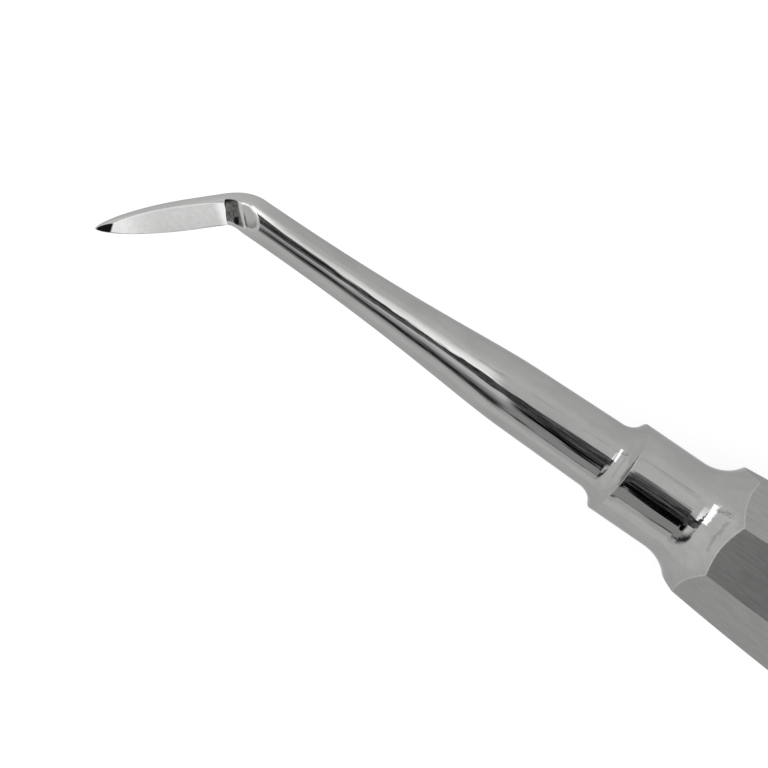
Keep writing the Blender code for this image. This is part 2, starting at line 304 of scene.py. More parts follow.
def bar_rings():
    """The rings' centres, outward directions, bar radii, lengths from the tip, and stations."""
    point_end, heel_start = BLADE_STRAIGHT * POINT_END_SHARE, BLADE_STRAIGHT * HEEL_START_SHARE
    from_tip = np.concatenate((
        TIP_TRIM + (point_end - TIP_TRIM) * np.linspace(0, 1, POINT_RINGS)[1:] ** POINT_CROWDING,
        spread(point_end, heel_start, LEAF_RINGS)[1:],
        np.linspace(heel_start, BLADE_STRAIGHT, HEEL_RINGS),
    ))
    centres = [BEND_POINT + BLADE_DIRECTION * (BLADE_LENGTH - d) for d in from_tip]
    outward = [-INNER_DIRECTION] * len(from_tip)
    radii = list(blade_radius(from_tip - TIP_TRIM))
    lengths = list(from_tip)
    stations = [BEND_STATION] * len(from_tip)
    curve_centre = np.array((SHANK_START, -BEND_RADIUS, 0))
    for share in np.linspace(0, 1, BEND_RINGS)[1:-1]:
        angle = BEND_ANGLE * (1 - share)
        direction = np.array((-math.sin(angle), math.cos(angle), 0))
        blend = share * share * (3 - 2 * share)
        centres.append(curve_centre + direction * BEND_RADIUS)
        outward.append(direction)
        radii.append(radii[len(from_tip) - 1] * (1 - blend) + SHANK_THIN_RADIUS * blend)
        lengths.append(BLADE_STRAIGHT + BEND_ARC * share)
        stations.append(BEND_STATION)
    shank = shank_profile(SHANK_STEPS)
    pad_end = SHANK_START + PAD_REACH
    shank_stations = np.concatenate((
        spread(SHANK_START, pad_end, PAD_RINGS),
        np.linspace(pad_end, -SHANK_ROOT_LENGTH, SHANK_RINGS),
    ))
    shank_radii = np.interp(shank_stations, shank[:, 0], shank[:, 1])
    collar = collar_profile()
    root = spread(-SHANK_ROOT_LENGTH, collar[0, 0], ROOT_RINGS)[1:]
    flare = flare_profile()
    neck = spread(0, NECK_LENGTH, NECK_RINGS)[1:]
    handle = np.concatenate((
        SHOULDER_STATION + SWELL_LENGTH * np.linspace(SWELL_START_SHARE, 1, SWELL_RINGS) ** SWELL_CROWDING,
        spread(GRIP_STATION, DOME_STATION, GRIP_RINGS)[1:],
        DOME_STATION + DOME_LENGTH * np.sin(np.linspace(0, math.pi / 2, DOME_RINGS)[:-1]),
    ))
    handle = handle[handle > flare[-1, 0]]
    profile = np.vstack((
        np.column_stack((shank_stations, shank_radii)),
        np.column_stack((root, shank_radius(root))),
        collar,
        np.column_stack((neck, np.full(len(neck), NECK_RADIUS))),
        flare,
        np.column_stack((handle, dome_radius(handle))),
    ))
    for station, radius in profile:
        centres.append(np.array((station, 0, 0)))
        outward.append(np.array((0.0, 1.0, 0.0)))
        radii.append(radius)
        lengths.append(BLADE_STRAIGHT + BEND_ARC + station - SHANK_START)
        stations.append(station)
    return (np.array(centres), np.array(outward), np.array(radii), np.array(lengths), np.array(stations))


def soft_min(a, b, reach):
    """The smaller of the two, rounded over where they differ by less than reach."""
    share = np.clip(0.5 + 0.5 * (b - a) / reach, 0, 1)
    return b * (1 - share) + a * share - reach * share * (1 - share)


def ray_to_wheel(centres, rays, origin, axis, radius):
    """How far along each ray the wheel is met, or a far number where it is missed."""
    start = centres - origin
    start = start - (start @ axis)[..., None] * axis
    rays = rays - (rays @ axis)[..., None] * axis
    a = (rays * rays).sum(-1)
    b = (start * rays).sum(-1)
    c = (start * start).sum(-1) - radius * radius
    spare = b * b - a * c
    reach = (-b - np.sqrt(np.maximum(spare, 0))) / np.maximum(a, TINY**2)
    return np.where((spare > 0) & (reach > 0), reach, FAR)


def wheel_frame(dip):
    """Axes of the grinding wheel: its own axis across the bend, and up out of the cut."""
    level = np.array((math.sin(WHEEL_TURN), -math.cos(WHEEL_TURN), 0))
    across = level * math.cos(dip) - UP * math.sin(dip)
    out = np.cross(across, BLADE_DIRECTION)
    out /= np.linalg.norm(out)
    return across, out if out[2] > 0 else -out


def face_height(along):
    """Height of the ground face at a distance from the bend towards the tip."""
    hollow_angle = (BLADE_LENGTH - RUNOUT_SETBACK) / FACE_HOLLOW_RADIUS
    first = math.atan(FACE_DROP) - hollow_angle / 2
    last = first + hollow_angle
    outline = arc_profile((-BLADE_LENGTH, 0), FACE_HOLLOW_RADIUS, first, last, HOLLOW_STEPS)
    height = np.interp(-along, outline[:, 0], outline[:, 1]) + FACE_HEIGHT - outline[-1, 1]
    sweep = np.clip(1 - (along - RUNOUT_START) / FACE_SWEEP_LENGTH, 0, MOST_SWEEP)
    return height + FACE_SWEEP_RISE * sweep**2


def past_runout_start(met):
    """How far points lie beyond the run-out's slanted start, towards the tip."""
    return met @ (BLADE_DIRECTION - INNER_DIRECTION * RUNOUT_SLANT) - RUNOUT_START


def edge_line(share):
    """1 where a cut is half deep, which is along its edge, and 0 where it is full or absent."""
    return 4 * share * (1 - share)


def trim_handle(stations, angles, surface, shares):
    """Cuts the handle's flats into the surface, notes where they show, and paints a highlight along the
    shoulder's edge.
    """
    handle = stations > 0
    step = 2 * math.pi / FLAT_COUNT
    apothem = corner_radius(stations[handle]) * FLAT_SHARE
    flats = None
    for k in range(FLAT_COUNT):
        lean = np.cos(angles - k * step)
        reach = apothem[:, None] / np.maximum(lean, LEAST_LEAN)[None, :]
        flats = reach if flats is None else soft_min(flats, reach, HANDLE_EDGE_ROUND)
    turned = surface[handle]
    surface[handle] = soft_min(turned, flats, HANDLE_EDGE_ROUND)
    flat_share = np.clip((turned - surface[handle]) / HANDLE_EDGE_ROUND, 0, 1)
    shares["handle_flat"][handle] = flat_share
    # A painted highlight along the shoulder's edge, where the flats run out into the flare
    shares["painted_edge_highlight"][handle] = edge_line(flat_share) * SHOULDER_PAINTED_HIGHLIGHT


def face_reach(centres, rays, along, out):
    """Reach of each ray to the ground face, which lifts off where the run-out starts."""
    lean = np.maximum(rays @ out, TINY)
    face = np.minimum(face_height(along)[:, None] / lean, MISSED)
    met = centres[:, None] + rays * face[..., None] - BEND_POINT
    return face + np.clip(-past_runout_start(met) / FACE_END_LENGTH, 0, 1) * LIFT


def bevel_reach(centres, rays, out):
    """Reach of each ray to the short bevel at the tip."""
    slope = (FACE_HEIGHT - FACE_DROP * BLADE_LENGTH - POINT_RISE) / POINT_LENGTH
    turn = np.array(Matrix.Rotation(-POINT_SKEW, 3, Vector(out)))
    bevel_out = out + slope * (turn @ BLADE_DIRECTION)
    tip = BEND_POINT + BLADE_DIRECTION * BLADE_LENGTH + out * POINT_RISE
    offset = (tip - centres) @ bevel_out
    return offset[:, None] / np.maximum(rays @ bevel_out, TINY)


def wheel_reaches(centres, rays):
    """Reach of each ray to the run-out, which lifts off at its start, and to the pad."""
    reaches = []
    cuts = (
        (RUNOUT_RADIUS, RUNOUT_HEIGHT, RUNOUT_DIP, BEND_POINT + BLADE_DIRECTION * RUNOUT_SETBACK),
        (PAD_WHEEL_RADIUS, PAD_HEIGHT, PAD_DIP, BEND_POINT + np.array((PAD_SETBACK, 0, 0))),
    )
    for radius, height, dip, below in cuts:
        wheel_axis, wheel_out = wheel_frame(dip)
        origin = below + wheel_out * (height + radius)
        reaches.append(ray_to_wheel(centres[:, None], rays, origin, wheel_axis, radius))
    runout, pad = reaches
    met = centres[:, None] + rays * np.minimum(runout, MISSED)[..., None] - BEND_POINT
    return runout + np.clip(past_runout_start(met) / RUNOUT_WALL, 0, 1) * LIFT, pad


def blade_shares(met, wheel_cut, all_cut, bevel, runout, pad):
    """Where each kind of cut shows on the blade and at the bend, and where light and shade are painted on
    them.
    """
    place, inner = met @ BLADE_DIRECTION, met @ INNER_DIRECTION
    # The run-out's hollow is painted dark as a reflection of dark, up to a light stripe left before the
    # pad
    runout_painted_dark = wheel_cut * np.clip((pad - runout - STRIPE_DEPTH) / STRIPE_FADE, 0, 1)
    on_pad = wheel_cut * (pad < runout) * (place < 0)
    # Painted shade on the pad: light all over, and more towards its inner end and its far end
    low_end = np.clip((inner - PAD_DARK_START) / PAD_DARK_FADE, 0, 1)
    far_end = np.clip((PAD_DARK_END - place) / PAD_DARK_END_FADE, 0, 1) * (inner > PAD_DARK_END_SIDE)
    pad_end_shade = np.maximum(low_end, far_end)

    # Painted light on the ground face: a painted highlight towards the heel and the point, and painted
    # shade on the lower side
    heel_highlight = np.clip((HEEL_PAINTED_HIGHLIGHT[0] - place) / (HEEL_PAINTED_HIGHLIGHT[0] - HEEL_PAINTED_HIGHLIGHT[1]), 0, 1)
    point_highlight = np.clip((place - POINT_PAINTED_HIGHLIGHT[0]) / (POINT_PAINTED_HIGHLIGHT[1] - POINT_PAINTED_HIGHLIGHT[0]), 0, 1) ** 2
    low_side_shade = np.clip(inner / BLADE_RADIUS, 0, 1)
    face_light = FACE_PAINTED_LEVEL + np.maximum(heel_highlight, point_highlight) * (1 - FACE_PAINTED_LEVEL) - LOW_SIDE_PAINTED_SHADE * low_side_shade

    # A painted highlight along the cuts' edges: the ground face's upper edge and the pad's outer edge
    on_face = (place > RUNOUT_START) & (inner < 0)
    outer_pad = (pad < runout) & (place < 0)
    outer_pad = outer_pad * np.clip((EDGE_HIGHLIGHT_END - inner) / EDGE_HIGHLIGHT_FADE, 0, 1)
    edge_highlight_mask = np.maximum(outer_pad, on_face * (1 - bevel))

    # A painted black spot and a painted black rim in the run-out's hollow, both painted dark reflections
    spot = np.hypot((place - SPOT_PLACE[0]) / SPOT_REACH[0], (inner - SPOT_PLACE[1]) / SPOT_REACH[1])
    spot = np.clip((SPOT_EDGE - spot) / SPOT_FADE, 0, 1)
    rim = np.clip((RUNOUT_RIM - inner) / RUNOUT_RIM_FADE, 0, 1)
    # A painted line of shade along the pad's ridge, on the pad's side of it, in its lower part
    ridge_shade = on_pad * np.clip(1 - (runout - pad) / RIDGE_SHADE_DEPTH, 0, 1)
    ridge_shade = ridge_shade * np.clip((inner - RIDGE_SHADE_START) / RIDGE_SHADE_FADE, 0, 1)
    return {
        "ground_face": all_cut * (1 - wheel_cut) * (1 - bevel),
        "face_painted_light": np.clip(face_light, 0, 1),
        # The run-out's painted dark reflection, and the pad's painted shade
        "runout": runout_painted_dark + on_pad * (PAD_PAINTED_SHADE + (1 - PAD_PAINTED_SHADE) * PAD_END_PAINTED_SHADE * pad_end_shade),
        # Painted black: the spot and rim in the hollow, the line of shade along the pad's ridge, and the
        # tip's bevel as a dark reflection
        "painted_black": np.maximum(runout_painted_dark * np.maximum(spot, rim), np.maximum(ridge_shade, bevel)),
        "painted_edge_highlight": edge_line(all_cut) * edge_highlight_mask,
    }


def trimmed_radii(rings, angles):
    """Distance from each ring's centre to the finished surface, and where each kind of cut shows."""
    centres, outward, radii, lengths, stations = rings
    rays = outward[:, None] * np.cos(angles)[None, :, None] + UP * np.sin(angles)[None, :, None]
    surface = np.repeat(radii[:, None], len(angles), axis=1)
    names = ("handle_flat", "ground_face", "face_painted_light", "runout", "painted_black", "painted_edge_highlight")
    shares = {name: np.zeros_like(surface) for name in names}
    trim_handle(stations, angles, surface, shares)

    blade = lengths < BLADE_STRAIGHT + BEND_ARC + CUT_SHANK_LENGTH
    centres, rays, lengths = centres[blade], rays[blade], lengths[blade]
    body = surface[blade]
    out = UP * math.cos(FACE_TURN) + INNER_DIRECTION * math.sin(FACE_TURN)
    face = face_reach(centres, rays, BLADE_LENGTH - lengths, out)
    faced = soft_min(body, np.minimum(face, MISSED), BLADE_EDGE_ROUND)
    point = bevel_reach(centres, rays, out)
    pointed = soft_min(faced, np.minimum(point, MISSED), POINT_EDGE_ROUND)
    runout, pad = wheel_reaches(centres, rays)
    wheels = soft_min(runout, pad, BLADE_EDGE_ROUND)
    cut = soft_min(pointed, np.minimum(wheels, MISSED), BLADE_EDGE_ROUND)
    surface[blade] = cut

    met = centres[:, None] + rays * cut[..., None] - BEND_POINT
    bevel = np.clip((faced - pointed) / POINT_EDGE_ROUND, 0, 1)
    wheel_cut = np.clip((pointed - cut) / BLADE_EDGE_ROUND, 0, 1)
    all_cut = np.clip((body - cut) / BLADE_EDGE_ROUND, 0, 1)
    for name, values in blade_shares(met, wheel_cut, all_cut, bevel, runout, pad).items():
        shares[name][blade] = values
    return surface, shares


def even_turns(angles, surface):
    """Angles for each ring's points, crowded where its outline turns sharply."""
    x, y = surface * np.cos(angles), surface * np.sin(angles)
    dx, dy = np.diff(x, append=x[:, :1], axis=1), np.diff(y, append=y[:, :1], axis=1)
    length = np.hypot(dx, dy)
    heading = np.arctan2(dy, dx)
    turning = np.diff(heading, prepend=heading[:, -1:], axis=1)
    turning = np.abs((turning + math.pi) % (2 * math.pi) - math.pi)
    turning = np.minimum(turning, SHARPEST_TURN)
    weight = (1 - EDGE_SHARE) * length / length.sum(1, keepdims=True)
    weight += EDGE_SHARE * turning / turning.sum(1, keepdims=True)
    total = np.concatenate((np.zeros((len(surface), 1)), np.cumsum(weight, axis=1)), axis=1)
    closed = np.append(angles, angles[0] + 2 * math.pi)
    wanted = np.arange(RING_POINTS) / RING_POINTS
    return np.array([np.interp(wanted * row[-1], row, closed) for row in total])


def make_surface():
    """The skin over the rings as one closed mesh, with the shares of the cuts at its points."""
    rings = bar_rings()
    centres, outward, _, lengths, _ = rings
    angles = -math.pi / 2 + spread(0, 2 * math.pi, RAY_COUNT)
    surface, shares = trimmed_radii(rings, angles)
    chosen = even_turns(angles, surface)
    closed = np.append(angles, angles[0] + 2 * math.pi)

    def at_chosen(values):
        looped = np.concatenate((values, values[:, :1]), axis=1)
        return np.array([np.interp(a, closed, row) for a, row in zip(chosen, looped)])

    reach = at_chosen(surface)
    across, rise = reach * np.cos(chosen), reach * np.sin(chosen)
    points = centres[:, None] + outward[:, None] * across[..., None] + UP * rise[..., None]
    tip = BEND_POINT + BLADE_DIRECTION * (BLADE_LENGTH - TIP_TRIM)
    rear = np.array((REAR_STATION, 0, 0))
    vertices = np.vstack((points.reshape(-1, 3), tip, rear)) + np.array(RIM_PLACE)

    count = len(lengths)
    ring = np.arange(count - 1)[:, None] * RING_POINTS
    i = np.arange(RING_POINTS)[None, :]
    j = (i + 1) % RING_POINTS
    sides = np.stack((ring + i, ring + j, ring + RING_POINTS + j, ring + RING_POINTS + i), axis=-1)
    last = (count - 1) * RING_POINTS
    tip_index, rear_index = count * RING_POINTS, count * RING_POINTS + 1
    faces = [tuple(face) for face in sides.reshape(-1, 4).tolist()]
    faces += [(tip_index, k + 1 if k + 1 < RING_POINTS else 0, k) for k in range(RING_POINTS)]
    faces += [(rear_index, last + k, last + (k + 1) % RING_POINTS) for k in range(RING_POINTS)]

    mesh = bpy.data.meshes.new("polished_body")
    mesh.from_pydata(vertices.tolist(), [], faces)
    mesh.validate()
    straight = np.stack((np.repeat(lengths[:, None], RING_POINTS, axis=1), across, rise), axis=-1)
    straight = np.vstack((straight.reshape(-1, 3), (0, 0, 0), (lengths[-1], 0, 0)))
    along = mesh.attributes.new("straightened", "FLOAT_VECTOR", "POINT")
    along.data.foreach_set("vector", straight.astype(np.float32).ravel())
    for name, values in shares.items():
        weights = np.append(at_chosen(values).ravel(), (0, 0))
        layer = mesh.attributes.new(name, "FLOAT", "POINT")
        layer.data.foreach_set("value", weights.astype(np.float32))
    mesh.shade_smooth()
    body = bpy.data.objects.new("polished_body", mesh)
    bpy.context.scene.collection.objects.link(body)
    return body


class Nodes:
    """Short calls for building a node tree."""

    def __init__(self, tree):
        self.tree = tree

    def add(self, kind, **settings):
        node = self.tree.nodes.new(kind)
        for name, value in settings.items():
            setattr(node, name, value)
        return node

    def link(self, source, target):
        self.tree.links.new(source, target)

    def put(self, socket, value):
        if isinstance(value, bpy.types.NodeSocket):
            self.link(value, socket)
        else:
            socket.default_value = value

    def math(self, operation, first, second=0.0, clamp=False):
        node = self.add("ShaderNodeMath", operation=operation, use_clamp=clamp)
        self.put(node.inputs[0], first)
        self.put(node.inputs[1], second)
        return node.outputs[0]

    def noise(self, vector, scale, stretch=(1, 1, 1), detail=2.0, roughness=0.5):
        mapping = self.add("ShaderNodeMapping")
        self.link(vector, mapping.inputs["Vector"])
        mapping.inputs["Scale"].default_value = stretch
        node = self.add("ShaderNodeTexNoise", noise_dimensions="3D")
        self.link(mapping.outputs[0], node.inputs["Vector"])
        node.inputs["Scale"].default_value = scale
        node.inputs["Detail"].default_value = detail
        node.inputs["Roughness"].default_value = roughness
        return node.outputs["Fac"]

    def range(self, value, from_low, from_high, to_low, to_high, smooth=False):
        node = self.add("ShaderNodeMapRange", clamp=True)
        if smooth:
            node.interpolation_type = "SMOOTHSTEP"
        self.put(node.inputs["Value"], value)
        node.inputs["From Min"].default_value = from_low
        node.inputs["From Max"].default_value = from_high
        node.inputs["To Min"].default_value = to_low
        node.inputs["To Max"].default_value = to_high
        return node.outputs["Result"]

    def band(self, value, low, high, low_fade, high_fade):
        """1 between low and high, falling to 0 over the fades on either side."""
        rise = self.range(value, low - low_fade / 2, low + low_fade / 2, 0, 1, smooth=True)
        fall = self.range(value, high - high_fade / 2, high + high_fade / 2, 1, 0, smooth=True)
        return self.math("MULTIPLY", rise, fall)

    def below(self, value, limit):
        """How far the value lies below the limit, or 0 above it."""
        return self.math("MAXIMUM", self.math("SUBTRACT", limit, value), 0.0)

    def times(self, *factors):
        product = factors[0]
        for factor in factors[1:]:
            product = self.math("MULTIPLY", product, factor)
        return product

    def cover(self, level, mask, brightness):
        """The level, replaced by the brightness as far as the mask says."""
        return self.math("ADD", level, self.times(mask, self.math("SUBTRACT", brightness, level)))


# Grain of the steel, as noise: its scale, its stretch along the bar and around it, detail, roughness
FINE_GRAIN = (6500, (0.02, 1, 1), 2.0, 0.6)
LINE_GRAIN = (2300, (0.035, 1, 1), 2.0, 0.5)
CLOUD_GRAIN = (330, (0.15, 1, 1), 2.0, 0.5)
MOTTLE_GRAIN = (2400, (1, 1, 1), 3.0, 0.6)
SMEAR_GRAIN = (700, (0.5, 1, 1), 3.0, 0.6)

# The part of a noise's range that is spread over 0 to 1, wide, tight and for the smears' roughness
WIDE = (0.3, 0.7)
TIGHT = (0.35, 0.65)
SMEAR_RANGE = (0.35, 0.7)

# Colours of the steel, the darker first where the grain mixes two: polished, brighter on the blade,
# satin on the handle's flats, a painted reflection on the ground face, a painted dark reflection in the
# wheel cuts, painted black for dark reflections and shade, and the white of painted highlights
POLISHED = ((0.365, 0.365, 0.36, 1), (0.41, 0.41, 0.405, 1))
BRIGHT = (0.50, 0.50, 0.495, 1)
SATIN = ((0.31, 0.31, 0.305, 1), (0.365, 0.365, 0.36, 1))
FACE_PAINTED_REFLECTION = ((0.60, 0.60, 0.595, 1), (0.98, 0.98, 0.975, 1))
RUNOUT_PAINTED_DARK = ((0.05, 0.05, 0.05, 1), (0.17, 0.17, 0.165, 1))
PAINTED_BLACK = (0.008, 0.008, 0.008, 1)
HIGHLIGHT_WHITE = (1, 1, 1, 1)

# How much the ground face's painted reflection varies at random, how strong the painted highlight along
# the cuts' edges is, how bright the steel mirrors where it is seen edge-on, and how far from the tip the
# blade's brighter polish ends
FACE_REFLECTION_MOTTLE = 0.1
EDGE_HIGHLIGHT_STRENGTH = 0.9
EDGE_TINT = (0.75, 0.75, 0.75, 1)
BRIGHT_BLADE_ENDS = (12.0 * MM, 18.0 * MM)

# Roughness of the polish, and what smears, flats, the ground face and the wheel cuts add to it
POLISH_ROUGHNESS = (0.03, 0.06)
SMEAR_ROUGHNESS = 0.03
FLAT_ROUGHNESS = 0.40
GROUND_ROUGHNESS = 0.13
RUNOUT_ROUGHNESS = 0.17

# Relief of the grain in metres, and how much of it the ground face loses
FINE_RELIEF = 2.5e-6
LINE_RELIEF = 2.2e-5
CLOUD_RELIEF = 6.0e-5
PIT_RELIEF = 8.0e-6
GROUND_SMOOTHNESS = 0.8


def steel_material():
    """Polished stainless steel with fine lines along the bar, soft hand-ground unevenness, and painted
    reflections, shade and highlights on the blade and the shoulder.
    """
    material = bpy.data.materials.new("polished_steel_detailed")
    material.use_nodes = True
    nodes = Nodes(material.node_tree)
    shader = material.node_tree.nodes["Principled BSDF"]
    shader.inputs["Metallic"].default_value = 1.0

    def share(name):
        return nodes.add("ShaderNodeAttribute", attribute_name=name).outputs["Fac"]

    def blend(mask, first, second):
        mix = nodes.add("ShaderNodeMix", data_type="RGBA")
        nodes.put(mix.inputs["Factor"], mask)
        nodes.put(mix.inputs["A"], first)
        nodes.put(mix.inputs["B"], second)
        return mix.outputs["Result"]

    def plus(value, factor, amount):
        return nodes.math("ADD", value, nodes.math("MULTIPLY", factor, amount))

    path = nodes.add("ShaderNodeAttribute", attribute_name="straightened").outputs["Vector"]
    runout, ground, flats = share("runout"), share("ground_face"), share("handle_flat")
    fine = nodes.noise(path, *FINE_GRAIN)
    lines = nodes.noise(path, *LINE_GRAIN)
    clouds = nodes.noise(path, *CLOUD_GRAIN)
    mottle = nodes.noise(path, *MOTTLE_GRAIN)
    smears = nodes.noise(path, *SMEAR_GRAIN)

    distance = nodes.add("ShaderNodeSeparateXYZ")
    nodes.link(path, distance.inputs[0])
    near_tip = nodes.range(distance.outputs["X"], *BRIGHT_BLADE_ENDS, 1, 0, smooth=True)
    polished = blend(nodes.range(smears, *WIDE, 0, 1), *POLISHED)
    polished = blend(near_tip, polished, BRIGHT)
    satin = blend(nodes.range(fine, *TIGHT, 0, 1), *SATIN)
    unevenness = nodes.range(mottle, *WIDE, -FACE_REFLECTION_MOTTLE, FACE_REFLECTION_MOTTLE)
    # The ground face's colour is a painted reflection, from dull grey to near white
    face_reflection_colour = blend(nodes.math("ADD", share("face_painted_light"), unevenness, clamp=True), *FACE_PAINTED_REFLECTION)
    # The wheel cuts' painted dark reflection, mottled
    runout_painted_dark = blend(nodes.range(mottle, *TIGHT, 0, 1), *RUNOUT_PAINTED_DARK)
    colour = blend(flats, polished, satin)
    colour = blend(ground, colour, face_reflection_colour)
    colour = blend(runout, colour, runout_painted_dark)
    # Painted black, standing in for dark reflections and shade: the hollow's spot and rim, the line along
    # the pad's ridge and the tip's bevel
    colour = blend(share("painted_black"), colour, PAINTED_BLACK)
    # Painted highlight: the cuts' edges and the shoulder's edge blended towards white
    colour = blend(nodes.math("MULTIPLY", share("painted_edge_highlight"), EDGE_HIGHLIGHT_STRENGTH), colour, HIGHLIGHT_WHITE)
    nodes.link(colour, shader.inputs["Base Color"])
    shader.inputs["Specular Tint"].default_value = EDGE_TINT

    rough = nodes.range(fine, *WIDE, *POLISH_ROUGHNESS)
    rough = nodes.math("ADD", rough, nodes.range(smears, *SMEAR_RANGE, 0, SMEAR_ROUGHNESS))
    rough = plus(rough, flats, FLAT_ROUGHNESS)
    rough = plus(rough, ground, GROUND_ROUGHNESS)
    rough = plus(rough, runout, RUNOUT_ROUGHNESS)
    nodes.link(rough, shader.inputs["Roughness"])

    height = nodes.math("MULTIPLY", fine, FINE_RELIEF)
    height = plus(height, lines, LINE_RELIEF)
    height = plus(height, clouds, CLOUD_RELIEF)
    kept = nodes.math("SUBTRACT", 1.0, nodes.math("MULTIPLY", ground, GROUND_SMOOTHNESS))
    height = nodes.math("MULTIPLY", height, kept)
    pits = nodes.math("MULTIPLY", nodes.math("MULTIPLY", mottle, runout), PIT_RELIEF)
    bump = nodes.add("ShaderNodeBump")
    bump.inputs["Strength"].default_value = 1.0
    bump.inputs["Distance"].default_value = 1.0
    nodes.link(nodes.math("ADD", height, pits), bump.inputs["Height"])
    nodes.link(bump.outputs["Normal"], shader.inputs["Normal"])
    return material


# The floor's own colour, which carries the shadow, its glow to the camera and in reflections, and
# half its side in metres
FLOOR_COLOUR = 0.30
FLOOR_GLOW = 0.79
FLOOR_MIRRORED = 0.56
FLOOR_HALF = 3.0


def make_floor():
    """A plain white sheet that shows white to the camera and keeps the shadow."""
    mesh = bpy.data.meshes.new("floor")
    ends = ((-1, -1), (1, -1), (1, 1), (-1, 1))
    corners = [(x * FLOOR_HALF, y * FLOOR_HALF, 0) for x, y in ends]
    mesh.from_pydata(corners, [], [(0, 1, 2, 3)])
    floor = bpy.data.objects.new("floor", mesh)
    bpy.context.scene.collection.objects.link(floor)
    floor.location.z = NODE_LOW.z
    material = bpy.data.materials.new("floor_paper")
    material.use_nodes = True
    nodes = Nodes(material.node_tree)
    material.node_tree.nodes.remove(material.node_tree.nodes["Principled BSDF"])
    paper = nodes.add("ShaderNodeBsdfDiffuse")
    paper.inputs["Color"].default_value = (FLOOR_COLOUR, FLOOR_COLOUR, FLOOR_COLOUR, 1)
    seen = nodes.add("ShaderNodeLightPath")
    white = nodes.math("MAXIMUM", seen.outputs["Is Camera Ray"], seen.outputs["Is Transmission Ray"])
    white = nodes.math("MULTIPLY", white, FLOOR_GLOW)
    mirrored = nodes.math("MULTIPLY", seen.outputs["Is Glossy Ray"], FLOOR_MIRRORED)
    glow = nodes.add("ShaderNodeEmission")
    nodes.link(nodes.math("MAXIMUM", white, mirrored), glow.inputs["Strength"])
    both = nodes.add("ShaderNodeAddShader")
    nodes.link(paper.outputs[0], both.inputs[0])
    nodes.link(glow.outputs[0], both.inputs[1])
    nodes.link(both.outputs[0], material.node_tree.nodes["Material Output"].inputs["Surface"])
    mesh.materials.append(material)


# What the steel mirrors: a light tent with a round dark opening overhead, as seen from the
# instrument. Turn is the angle about the instrument's axis from straight up, positive towards -Y,
# and lean is the angle towards the handle, both in degrees. A brightness of 1 is the floor's white.
# Four angles in a row are a band: from, to, and how wide it fades at each end. Two angles are where
# a change starts and ends, and two brightnesses are those at its start and end.
TENT_LEVEL = 0.95
TENT_CLOUDS = 0.06
TENT_CLOUD_SCALE = 2.2
NECK_SHIFT = 6
NECK_LEANS = (10, 14)
# The dim side, the lower part, the lit wall above the opening, and the lamp's spot below it
DIM_TURNS = (-85, -60)
DIM_BRIGHTNESS = 0.86
LOW_TURNS = (-60, 40, 20, 30)
LOW_LEANS = (-24, -14)
LOW_BRIGHTNESS = 1.02
LIT_TURNS = (-50, -1, 3, 6)
LIT_LEANS = (-16, -3, 3, 4)
GLOW_TURNS = (-50, -10)
GLOW_BRIGHTNESS = (0.95, 2.3)
LAMP_TURNS = (-54, -11, 14, 4)
LAMP_LEANS = (-26, -14.5, 5, 3)
LAMP_BRIGHTNESS = 3.6
# Seams of the cloth, one stepped at the neck, and one that swings aside by a share of the lean
SEAM_TURNS = (-42.8, -41.2, 1, 1)
SEAM_STEP = 6
SEAM_LEANS = (-10, -6)
SEAM_BRIGHTNESS = 0.6
SWUNG_SEAM_TURNS = (-50, -46, 3, 3)
SWUNG_SEAM_LEANS = (-55, -22, 10, 6)
SWUNG_SEAM_SWING = 0.42
SWUNG_SEAM_BRIGHTNESS = 0.5
# The opening's rim, an ellipse in turn and lean. A gap is how far inside the rim a direction is.
# Near the handle, both sides of the rim have an even brightness, and a dark line parts them.
RIM_CENTRE = (7, 15)
RIM_REACH = (49, 33)
NEAR_LEANS = (0, 3)
INNER_FADE_GAPS = (4, 26)
INNER_BRIGHTNESS = (0.02, 1.05)
INNER_NEAR_BRIGHTNESS = 0.5
INNER_GAPS = (0, 60, 1, 10)
INNER_LEANS = (-16, -13.5)
INNER_TURNS = (-2, 2)
OUTER_FADE_GAPS = (-14, -3)
OUTER_BRIGHTNESS = (0.78, 0.02)
OUTER_NEAR_BRIGHTNESS = 0.8
OUTER_GAPS = (-16, 0, 4, 1)
OUTER_LEANS = (-17, -14)
OUTER_TURNS = (20, 28)
RIM_LINE_GAPS = (-2.2, 0.8, 1, 1)
RIM_LINE_BRIGHTNESS = 0.05
# The half-lit edge of the opening towards the handle, wider at the neck
HALF_LIT_TURNS = (-12, 0, 4, 4)
HALF_LIT_LEANS = (3, 8)
HALF_LIT_WIDENING = 5
HALF_LIT_FADE_TURNS = (-12, -6)
HALF_LIT_BRIGHTNESS = (0.5, 0.3)
# Inside the opening, dark with lighter streaks: turn from, turn to, lean from, brightness of both
OPENING_UPPER = (-9, 10, -16, 0.0, 0.26)
OPENING_MIDDLE = (9, 20, 2.5, 0.0, 0.24)
OPENING_LOWER = (17, 31, 2, 0.0, 0.005)
# The upper part curls and narrows below this lean, and the others are slanted and pinched
CURL_START = -7.0
CURL = 0.42
NARROWING = 0.55
FOOT_SLANT = 0.15
OPENING_FADES = (2, 4)
PINCH_LEANS = (11.5, 14.5, 2, 3)
PINCH_DEPTH = 6
STREAK_WIDTH = 1.4
STREAK_LENGTH = 26
STREAK_RANGE = (0.46, 0.58)
# A dimmer seam across the far end of the tent
RING_TURNS = (-46, 42, 4, 4)
RING_LEANS = (-56, -50, 3, 3)
RING_BRIGHTNESS = 0.78


